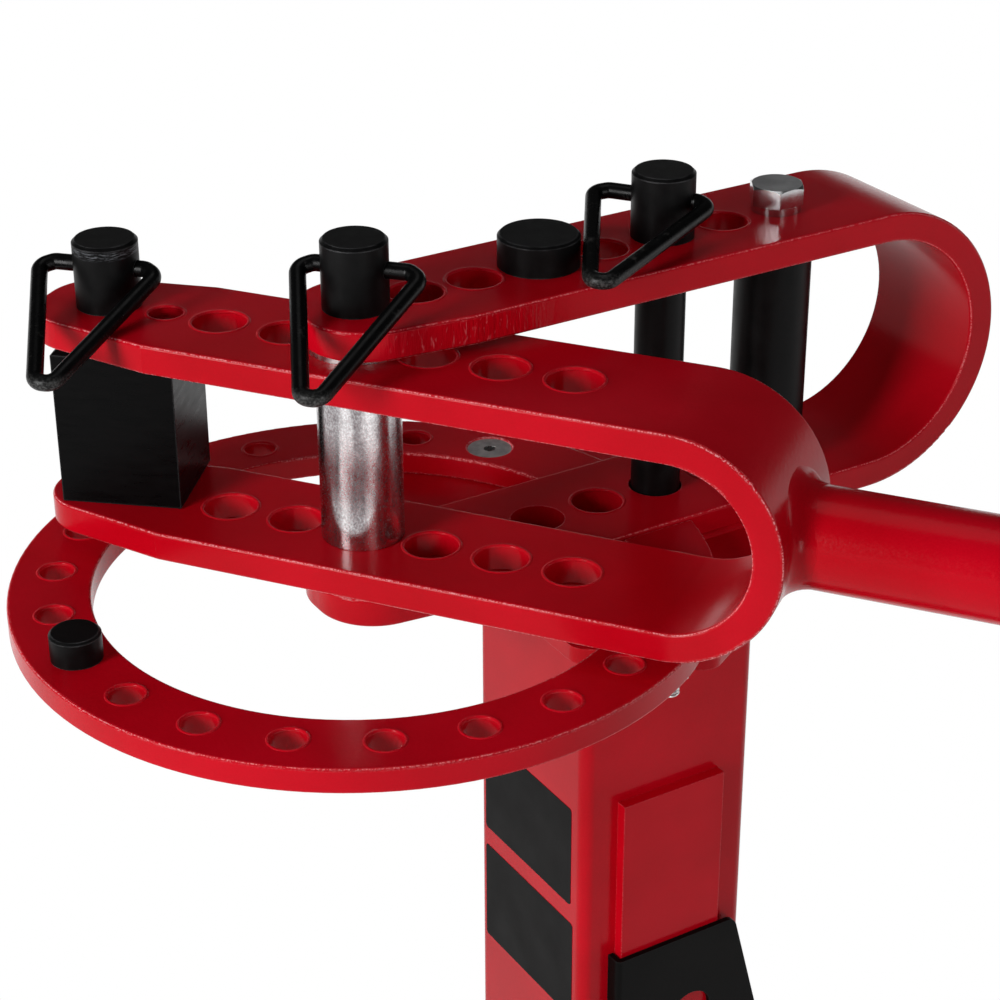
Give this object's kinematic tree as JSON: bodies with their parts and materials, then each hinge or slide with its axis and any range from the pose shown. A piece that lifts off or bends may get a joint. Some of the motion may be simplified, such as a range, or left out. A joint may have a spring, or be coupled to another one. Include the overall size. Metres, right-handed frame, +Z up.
{
  "type": "pipe bender",
  "caption": "Pedestal pipe and bar bender with a fixed hairpin yoke, a swinging hairpin yoke with handle, a slotted index ring, bail pins, a round die and a follower block.",
  "frame": {"origin": "middle of the base plate's underside", "axes": "+Z up, +X from the centre pin along the fixed yoke towards its bend, +Y to the back of the picture"},
  "size_m": [0.8958, 1.1475, 1.0547],
  "materials": {
    "red_paint": "glossy powder coat",
    "black_steel": "satin black oxide",
    "black_wire": "satin black",
    "zinc_steel": "bright zinc plating",
    "plated_die": "mottled bright plating",
    "black_sheet": "semi-matte black",
    "grip_rubber": "matte"
  },
  "bodies": {
    "stand": {"base_plate": "red_paint", "column": "red_paint", "column_gussets": "red_paint", "top_plate": "red_paint", "fixed_yoke": "red_paint", "angle_ring": "red_paint", "ring_screws": "zinc_steel", "ring_nuts": "zinc_steel", "post_sleeve": "black_steel", "post_bolt": "zinc_steel", "post_washers": "zinc_steel", "post_nut": "zinc_steel", "column_pad": "red_paint", "side_bracket": "black_sheet", "bracket_screws": "zinc_steel"},
    "swing_frame": {"swing_yoke": "red_paint", "thrust_washers": "zinc_steel", "handle_socket": "red_paint", "clamp_nut": "red_paint"},
    "clamp_bolt": {"clamp_bolt": "zinc_steel"},
    "handle": {"handle_tube": "red_paint", "handle_plug": "red_paint", "handle_grip": "grip_rubber"},
    "centre_die": {"centre_die": "plated_die"},
    "follower_block": {"follower_block": "black_steel"},
    "centre_pin": {"centre_pin": "black_steel"},
    "centre_pin_bail": {"centre_pin_bail": "black_wire"},
    "follower_pin": {"follower_pin": "black_steel"},
    "follower_pin_bail": {"follower_pin_bail": "black_wire"},
    "fixed_pin": {"fixed_pin": "black_steel"},
    "fixed_pin_bail": {"fixed_pin_bail": "black_wire"},
    "cap_pin": {"cap_pin": "black_steel"},
    "stop_pin": {"stop_pin": "black_steel"}
  },
  "joints": [
    {"name": "swing", "type": "hinge", "parent": "stand", "child": "swing_frame", "pos_m": [-0.14, 0, 0.95075], "axis": [0, 0, 1], "range_deg": [-100, 33]},
    {"name": "handle_slide", "type": "slide", "parent": "swing_frame", "child": "handle", "axis": [0.5962, -0.8028, 0], "range_m": [0, 0.15]},
    {"name": "clamp_bolt_turn", "type": "hinge", "parent": "swing_frame", "child": "clamp_bolt", "pos_m": [0.07896, -0.29484, 0.95075], "axis": [0, 0, 1], "continuous": true},
    {"name": "die_spin", "type": "hinge", "parent": "swing_frame", "child": "centre_die", "pos_m": [-0.14, 0, 0.95075], "axis": [0, 0, 1], "continuous": true},
    {"name": "block_spin", "type": "hinge", "parent": "swing_frame", "child": "follower_block", "pos_m": [-0.21417, 0.09987, 0.95075], "axis": [0, 0, 1], "continuous": true},
    {"name": "centre_pin_lift", "type": "slide", "parent": "swing_frame", "child": "centre_pin", "axis": [0, 0, 1], "range_m": [0, 0.155]},
    {"name": "centre_bail_flip", "type": "hinge", "parent": "centre_pin", "child": "centre_pin_bail", "pos_m": [-0.14, 0, 1.041], "axis": [-0.682, 0.7314, 0], "range_deg": [0, 215]},
    {"name": "follower_pin_lift", "type": "slide", "parent": "swing_frame", "child": "follower_pin", "axis": [0, 0, 1], "range_m": [0, 0.115]},
    {"name": "follower_bail_flip", "type": "hinge", "parent": "follower_pin", "child": "follower_pin_bail", "pos_m": [-0.21417, 0.09987, 1.023], "axis": [-0.7071, 0.7071, 0], "range_deg": [0, 224]},
    {"name": "fixed_pin_lift", "type": "slide", "parent": "stand", "child": "fixed_pin", "axis": [0, 0, 1], "range_m": [0, 0.15]},
    {"name": "fixed_bail_flip", "type": "hinge", "parent": "fixed_pin", "child": "fixed_pin_bail", "pos_m": [0.022, 0, 1.041], "axis": [-0.6018, 0.7986, 0], "range_deg": [0, 202]},
    {"name": "cap_pin_lift", "type": "slide", "parent": "stand", "child": "cap_pin", "axis": [0, 0, 1], "range_m": [0, 0.03]},
    {"name": "stop_pin_lift", "type": "slide", "parent": "stand", "child": "stop_pin", "axis": [0, 0, 1], "range_m": [0, 0.03]}
  ]
}
